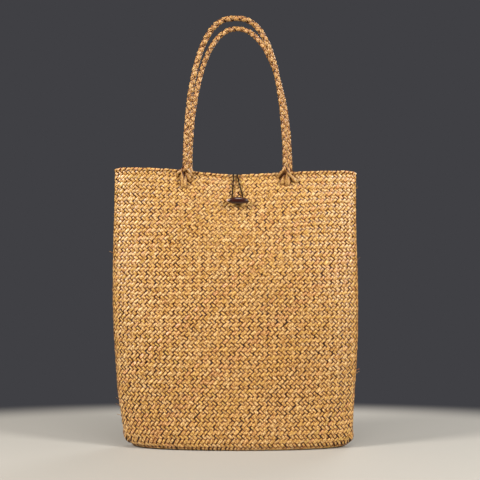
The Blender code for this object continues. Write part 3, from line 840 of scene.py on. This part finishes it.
# Node, side, shift, span, thickness, shift and y of the top, squareness of the arch, feet
HANDLES = (
    ("front_handle", FRONT, 0.0, 0.141, 0.0102, 0.0, -0.012, 2.6, FRONT_FEET),
    ("back_handle", BACK, 0.0060, 0.1445, 0.0094, -0.0040, 0.062, 2.2, BACK_FEET),
)
for name, *sizes in HANDLES:
    handle = straw_piece(name + "_braid", *braid(*sizes), braided_finish, 0.42, square=1.3)
    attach(handle, "root")
    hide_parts(name)


# Straw ends.
# At both lower corners the straws are gathered and tucked back, and a few short ends stick out
# of the weave along the side folds.

# A corner's straws start this far apart and this high, and meet low down. Distances round the
# pouch are in turns and heights in shares of the rim's height.
CORNER_STRAWS = 9
CORNER_SPREAD, CORNER_TOP, CORNER_FOOT = 0.026, 0.066, 0.010
CORNER_PROUD = 0.0036

# A stray end's place round the fold, height, length and how far it curls out
STRAY_ENDS = 30
STRAY_SPREAD, STRAY_UP, STRAY_LENGTH = 0.010, (0.06, 0.95), (0.008, 0.020)
STRAY_START, STRAY_CURL = 0.0009, (0.0012, 0.0056)
CORNER_HALF_WIDTH, STRAY_HALF_WIDTH = (0.0013, 0.0020), (0.0003, 0.0009)
END_SHARE = np.linspace(0, 1, 9)


def corner_strips(fold):
    """Straws pinched together over a lower corner, from up on the wall down to the base."""
    column = (CORNER_STRAWS, 1)
    spread = np.linspace(-CORNER_SPREAD, CORNER_SPREAD, CORNER_STRAWS)[:, None]
    spread = spread + chance.normal(0, 0.001, column)
    top = CORNER_TOP - 0.6 * abs(spread) + chance.normal(0, 0.004, column)
    out = -0.0002 + CORNER_PROUD * np.sin(math.pi * END_SHARE) + chance.normal(0, 0.0003, column)
    return fold + spread * (1 - 1.15 * END_SHARE), top + (CORNER_FOOT - top) * END_SHARE, out


def stray_ends():
    """Short ends that leave the weave and curl outwards."""
    column = (STRAY_ENDS, 1)
    fold = 0.5 * chance.integers(0, 2, column)
    turn = fold + chance.normal(0, STRAY_SPREAD, column)
    up = chance.uniform(*STRAY_UP, column)
    run = chance.uniform(*STRAY_LENGTH, column)
    out = STRAY_START + chance.uniform(*STRAY_CURL, column) * END_SHARE**2
    return turn + chance.choice((-0.5, 0.5), column) * run * END_SHARE, up + run * END_SHARE, out


end_turns, end_ups, end_outs = (
    np.concatenate(part) for part in zip(corner_strips(0.0), corner_strips(0.5), stray_ends())
)
end_points, end_facing = on_wall(end_turns, end_ups)
end_widths = np.concatenate(
    [
        chance.uniform(*CORNER_HALF_WIDTH, 2 * CORNER_STRAWS),
        chance.uniform(*STRAY_HALF_WIDTH, STRAY_ENDS),
    ]
)[:, None] * (1 - 0.4 * END_SHARE)
straw_ends = straw_piece(
    "straw_ends",
    end_points + end_facing * end_outs[..., None],
    end_facing,
    end_widths,
    np.full(end_widths.shape, 0.9),
    chance.random(len(end_points)),
    woven_finish,
    0.22,
)
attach(straw_ends, "root")
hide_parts("woven_body")


# Toggle.
# A hardwood olive turned on a lathe, stained dark maroon and varnished, paler at its left
# tip. It lies across the front wall, on the elastic loop.

toggle_low, toggle_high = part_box("toggle")
TOGGLE_MIDDLE = (toggle_low + toggle_high) / 2
TOGGLE_LENGTH = toggle_high.x - toggle_low.x
TOGGLE_THICKNESS = toggle_high.z - toggle_low.z
TOGGLE_FULLNESS, TOGGLE_LOPSIDED = 0.62, 0.16
TOGGLE_STATIONS, TOGGLE_SIDES = 56, 48


def toggle_shape():
    """Rings along X between two poles. The left end is slimmer than the right one."""
    verts, faces = [], []
    for place in np.cos(np.linspace(math.pi, 0, TOGGLE_STATIONS)[1:-1]):
        fullness = TOGGLE_FULLNESS - TOGGLE_LOPSIDED * place
        radius = TOGGLE_THICKNESS / 2 * (1 - place**2) ** fullness
        for turn in np.linspace(0, 2 * math.pi, TOGGLE_SIDES, endpoint=False):
            spoke = Vector((0, math.cos(turn), math.sin(turn))) * radius
            verts.append(TOGGLE_MIDDLE + Vector((place * TOGGLE_LENGTH / 2, 0, 0)) + spoke)
    pairs = [(i, (i + 1) % TOGGLE_SIDES) for i in range(TOGGLE_SIDES)]
    last = len(verts) - TOGGLE_SIDES
    for ring in range(0, last, TOGGLE_SIDES):
        for i, j in pairs:
            a, b = ring + i, ring + j
            faces.append((a, b, b + TOGGLE_SIDES, a + TOGGLE_SIDES))
    for end, ring in ((-1, 0), (1, last)):
        verts.append(TOGGLE_MIDDLE + Vector((end * TOGGLE_LENGTH / 2, 0, 0)))
        for pair in pairs:
            faces.append((len(verts) - 1, *(ring + i for i in pair[::end])))
    return [tuple(v) for v in verts], faces


def hardwood():
    """Dark stained hardwood under clear varnish: fine long grain, about 1 mm apart, and gloss."""
    stain = {"Roughness": 0.30, "IOR": 1.5, "Specular IOR Level": 0.3}
    varnish = {"Coat Weight": 0.8, "Coat Roughness": 0.10}
    finish, tree, shader = new_finish("varnished_dark_hardwood", stain | varnish)
    place = tree.nodes.new("ShaderNodeTexCoord").outputs["Object"]
    from_middle = {0: place, 1: tuple(TOGGLE_MIDDLE)}
    centred = add_node(tree, "ShaderNodeVectorMath", {"operation": "SUBTRACT"}, from_middle)
    grain = noise(tree, centred, (90.0, 900.0, 900.0), 3.0)
    stops = ((0.30, "#160704"), (0.50, "#2E100A"), (0.64, "#4C2012"), (0.75, "#6E3B20"))
    along = add_node(tree, "ShaderNodeSeparateXYZ", inputs={0: centred})
    # Towards the left tip the wood is mixed into a pale pink
    tip_from, tip_to = -0.40 * TOGGLE_LENGTH, -0.47 * TOGGLE_LENGTH
    left_tip = {"Value": along, "From Min": tip_from, "From Max": tip_to}
    pale_left_tip = add_node(tree, "ShaderNodeMapRange", inputs=left_tip)
    wood = mixed(tree, pale_left_tip, ramp(tree, grain, stops), linear("#C09080"))
    tree.links.new(wood, shader.inputs["Base Color"])
    add_bump(tree, shader, grain, 0.25, 0.0001)
    return finish


toggle = add_mesh("turned_toggle", *toggle_shape(), hardwood())
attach(toggle, "root")
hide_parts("toggle")


# Toggle tie.
# A short two-ply hemp cord from the hole in the toggle's back through the wall, with an overhand
# knot inside the pouch.

tie_low, tie_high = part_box("toggle_tie")
TIE_MIDDLE = (tie_low + tie_high) / 2
TIE_THICKNESS = 0.0020
TIE_KNOT_LENGTH, TIE_KNOT_DEPTH, TIE_KNOT_CORD = 0.0040, 0.0011, 0.0009
TIE_KNOT_RADIUS = (tie_high.x - tie_low.x) / 2
TIE_PLY_RADIUS = TIE_THICKNESS / 4
TIE_TWISTS = 5
TIE_RINGS = 60


def trefoil(turn, wide, tall, deep):
    """The line of an overhand knot: across, back and up from its middle."""
    across = wide * (np.sin(turn) + 2 * np.sin(2 * turn))
    up = tall * (np.cos(turn) - 2 * np.cos(2 * turn))
    return np.stack([across, -deep * np.sin(3 * turn), up], -1)


def tie_lines():
    """The two plies of the cord, and the cord wound into its knot."""
    knot_y = tie_high.y - TIE_KNOT_LENGTH / 2
    share = np.linspace(0, 1, TIE_RINGS)
    lines = []
    for ply in (0, math.pi):
        turn = ply + 2 * math.pi * TIE_TWISTS * share
        x = TIE_MIDDLE.x + TIE_PLY_RADIUS * np.cos(turn)
        y = tie_low.y + (knot_y - tie_low.y) * share
        lines.append(np.stack([x, y, TIE_MIDDLE.z + TIE_PLY_RADIUS * np.sin(turn)], -1))
    wide = (TIE_KNOT_RADIUS - TIE_THICKNESS / 2) / 3
    knot = trefoil(2 * math.pi * share, wide, wide, TIE_KNOT_DEPTH)
    lines.append(knot + (TIE_MIDDLE.x, knot_y, TIE_MIDDLE.z))
    return np.array(lines)


TIE_SHADES = ((0.0, "#6B4A2C"), (0.5, "#805A36"), (1.0, "#5E4026"))
tie_points = tie_lines()
tie_radius = np.array((TIE_PLY_RADIUS, TIE_PLY_RADIUS, TIE_KNOT_CORD))
tie_radius = tie_radius[:, None] * np.ones(TIE_RINGS)
tie = straw_piece(
    "toggle_tie_cord",
    tie_points,
    np.broadcast_to((0.02, 1.02, 0.02), tie_points.shape),
    tie_radius,
    np.ones(tie_radius.shape),
    (0.2, 0.7, 0.4),
    straw_finish("twisted_hemp_cord", TIE_SHADES, RECESS, 0.7),
    1.0,
    square=1.0,
    sides=10,
)
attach(tie, "root")
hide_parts("toggle_tie")


# Closure loop.
# Black round elastic cord: rubber under a fine braided cover. Both ends are knotted behind the
# back wall. The bight comes over the front rim and hooks behind the toggle, round its tie.

LOOP_THICKNESS = 0.0018
LOOP_LEG_SPACING = 0.0050
LOOP_WIDTH = 0.0150
LOOP_HOLE_DROP = 0.012
LOOP_HOLE = RIM_HEIGHT - LOOP_HOLE_DROP
LOOP_BIGHT = TOGGLE_MIDDLE.z + TOGGLE_THICKNESS / 2
LOOP_RINGS = 220

# The knot, and the radius and spread of the cord wound in it
LOOP_KNOT_WIDTH, LOOP_KNOT_DEPTH = 0.0096, 0.0016
LOOP_KNOT_CORD, LOOP_KNOT_MARGIN, LOOP_KNOT_RINGS = 0.00135, 0.0014, 160


def face_y(across, height, side, inset=0.0):
    """Where the wall's outer face lies, or a surface this far inside it."""
    return float(panel(across, height / RIM_HEIGHT, side, inset)[1])


def loop_leg(toward):
    """One leg of the loop, from its knot behind the back wall to the toggle's upper edge."""
    cord = LOOP_THICKNESS / 2
    x = toward * LOOP_LEG_SPACING / 2
    back_outer = face_y(0, LOOP_HOLE, BACK)
    back_inner = face_y(0, LOOP_HOLE, BACK, WALL)
    front_inner = face_y(0, RIM_HEIGHT, FRONT, WALL)
    front_outer = face_y(0, RIM_HEIGHT, FRONT) - RIM_LIP
    over = RIM_HEIGHT + GAP + cord
    points = [
        (x, back_outer + GAP + LOOP_KNOT_WIDTH / 2, LOOP_HOLE),
        (x, back_outer, LOOP_HOLE),
        (x, back_inner - 2 * cord, LOOP_HOLE + 0.3 * cord),
        (x, back_inner - 5 * cord, LOOP_HOLE + 2 * cord),
        (x, 0.35 * back_inner, LOOP_HOLE + 0.55 * LOOP_HOLE_DROP),
        (x, 0.55 * front_inner, over - 1.2 * cord),
        (x, front_inner, over),
        (x, front_outer + cord, over + 0.2 * cord),
        (x, front_outer - GAP - 0.6 * cord, over - 0.7 * cord),
        (x, front_outer - GAP - cord, over - 2.2 * cord),
    ]
    end_x = TOGGLE_MIDDLE.x + toward * LOOP_WIDTH / 2
    top = points[-1]
    for share in (0.16, 0.36, 0.58, 0.80, 1.0):
        across = top[0] + (end_x - top[0]) * share
        height = top[2] + (LOOP_BIGHT - top[2]) * share
        lip = RIM_LIP * (1 - share)
        points.append((across, face_y(across, height, FRONT) - lip - GAP - cord, height))
    return points


def loop_bow():
    """The end of the loop behind the toggle, under the tie."""
    cord = LOOP_THICKNESS / 2
    drop = TOGGLE_THICKNESS / 2 + TIE_THICKNESS / 2 + GAP + cord
    points = []
    for turn in np.linspace(math.pi, 2 * math.pi, 13)[1:-1]:
        across = TOGGLE_MIDDLE.x + LOOP_WIDTH / 2 * math.cos(turn)
        height = LOOP_BIGHT + drop * math.sin(turn)
        points.append((across, face_y(across, height, FRONT) - GAP - cord, height))
    return points


def smooth_route(points, steps):
    """A smooth curve through the points, at even steps."""
    knots = np.array(points)
    knots = np.concatenate([2 * knots[:1] - knots[1:2], knots, 2 * knots[-1:] - knots[-2:-1]])
    curve = []
    for a, b, c, d in zip(knots, knots[1:], knots[2:], knots[3:]):
        for share in np.linspace(0, 1, 8, endpoint=False):
            pull = 2 * b + (c - a) * share + (2 * a - 5 * b + 4 * c - d) * share**2
            curve.append((pull + (3 * b - a - 3 * c + d) * share**3) / 2)
    return spread_evenly(np.array(curve + [knots[-2]]), steps)


def elastic():
    """Braided cotton cover, dyed black: matt, with plaits about 0.4 mm long that slant both
    ways, drawn from the cord's own length."""
    finish, tree, shader = new_finish("braided_black_elastic", {"Roughness": 0.9, "IOR": 1.3})
    along, across = stored(tree, "along", "across")
    place = add_node(tree, "ShaderNodeCombineXYZ", inputs={"X": along, "Y": across})
    pattern = {"Vector": stretched(tree, place, (2500.0, 2.6, 1.0)), "Scale": 1.0}
    plaits = add_node(tree, "ShaderNodeTexChecker", inputs=pattern, output="Fac")
    cover = mixed(tree, plaits, linear("#040303"), linear("#0E0C0C"))
    tree.links.new(cover, shader.inputs["Base Color"])
    add_bump(tree, shader, plaits, 0.4, 0.0001)
    return finish


elastic_finish = elastic()


def elastic_piece(name, route, facing, radius):
    """A stretch of the round cord along a route."""
    ones = np.ones((1, len(route)))
    facing = np.broadcast_to(facing, route.shape)
    cord = (name, route[None], facing[None], radius * ones, ones, (0.5,), elastic_finish, 1.0)
    return straw_piece(*cord, square=1.0, sides=12)


def knot_route():
    """Both ends of the cord, wound together into a knot that rests on the back wall."""
    out = face_y(0, LOOP_HOLE, BACK) + GAP + 0.75 * LOOP_KNOT_WIDTH / 2
    wide = (LOOP_KNOT_WIDTH / 2 - LOOP_KNOT_MARGIN) / 3
    turn = np.linspace(0, 2 * math.pi, LOOP_KNOT_RINGS)
    return trefoil(turn, wide, 0.85 * wide, LOOP_KNOT_DEPTH) + (0, out, LOOP_HOLE)


# The cord's section is round, so its facing only has to stay off the way that the cord runs
loop_route = smooth_route(loop_leg(-1) + loop_bow() + loop_leg(1)[::-1], LOOP_RINGS)
loop_facing = unit(np.cross(np.gradient(loop_route, axis=0), (0.31, 0.22, 0.93)))
loop = elastic_piece("elastic_loop", loop_route, loop_facing, LOOP_THICKNESS / 2)
knot = elastic_piece("elastic_knot", knot_route(), (0.05, 1.0, 0.08), LOOP_KNOT_CORD)
for piece in (loop, knot):
    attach(piece, "root")
    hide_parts("closure_loop")


# Stage.
# A pale floor that fades out all round into the plain dark background, and soft light from both
# sides, from above and from behind.

BACKGROUND = "#404044"
FADE_FROM, FADE_TO = 0.28, 0.42
FADE_OVAL = (0.5, 1.0, 1.0)


def pale_floor():
    """Matt pale floor, which turns into the plain background in an oval round the bag."""
    constants = {"Base Color": linear("#A4A19A"), "Roughness": 0.85}
    finish, tree, shader = new_finish("pale_matt_floor", constants)
    place = tree.nodes.new("ShaderNodeTexCoord").outputs["Object"]
    oval = stretched(tree, place, FADE_OVAL)
    away = add_node(tree, "ShaderNodeVectorMath", {"operation": "LENGTH"}, {0: oval}, "Value")
    reach = {"Value": away, "From Min": FADE_FROM, "From Max": FADE_TO}
    fade = add_node(tree, "ShaderNodeMapRange", {"interpolation_type": "SMOOTHSTEP"}, reach)
    plain = add_node(tree, "ShaderNodeEmission", inputs={"Color": linear(BACKGROUND)})
    parts = {0: fade, 1: shader.outputs[0], 2: plain}
    faded = add_node(tree, "ShaderNodeMixShader", inputs=parts)
    tree.links.new(faded, tree.nodes["Material Output"].inputs["Surface"])
    return finish


corners = [(-8, -8, 0), (8, -8, 0), (8, 8, 0), (-8, 8, 0)]
floor = add_mesh("floor", corners, [(0, 1, 2, 3)], pale_floor())


def soft_light(name, place, target, size, power, colour):
    """A round area light, aimed at a target."""
    lamp = bpy.data.lights.new(name, "AREA")
    lamp.shape = "DISK"
    lamp.size = size
    lamp.energy = power
    lamp.color = linear(colour)[:3]
    light = add_object(name, lamp)
    light.location = place
    aim = Vector(target) - Vector(place)
    light.rotation_euler = aim.to_track_quat("-Z", "Y").to_euler()


soft_light("left_key", (-1.4, -0.78, 1.14), (0, 0, 0.26), 0.5, 43, "#FFF9F2")
soft_light("right_fill", (1.4, -0.95, 1.0), (0.05, 0, 0.26), 0.5, 39, "#FFFAF4")
soft_light("top_soft", (0.1, -0.6, 1.9), (0, 0, 0.30), 0.7, 10, "#FFFFFF")
soft_light("back_soft", (0.9, 1.5, 1.2), (0.1, 0, 0.1), 1.0, 14, "#FFFFFF")

world = bpy.data.worlds.new("studio")
bpy.context.scene.world = world
world.use_nodes = True
world.node_tree.nodes["Background"].inputs["Color"].default_value = linear(BACKGROUND)
bpy.context.scene.view_settings.view_transform = "Standard"
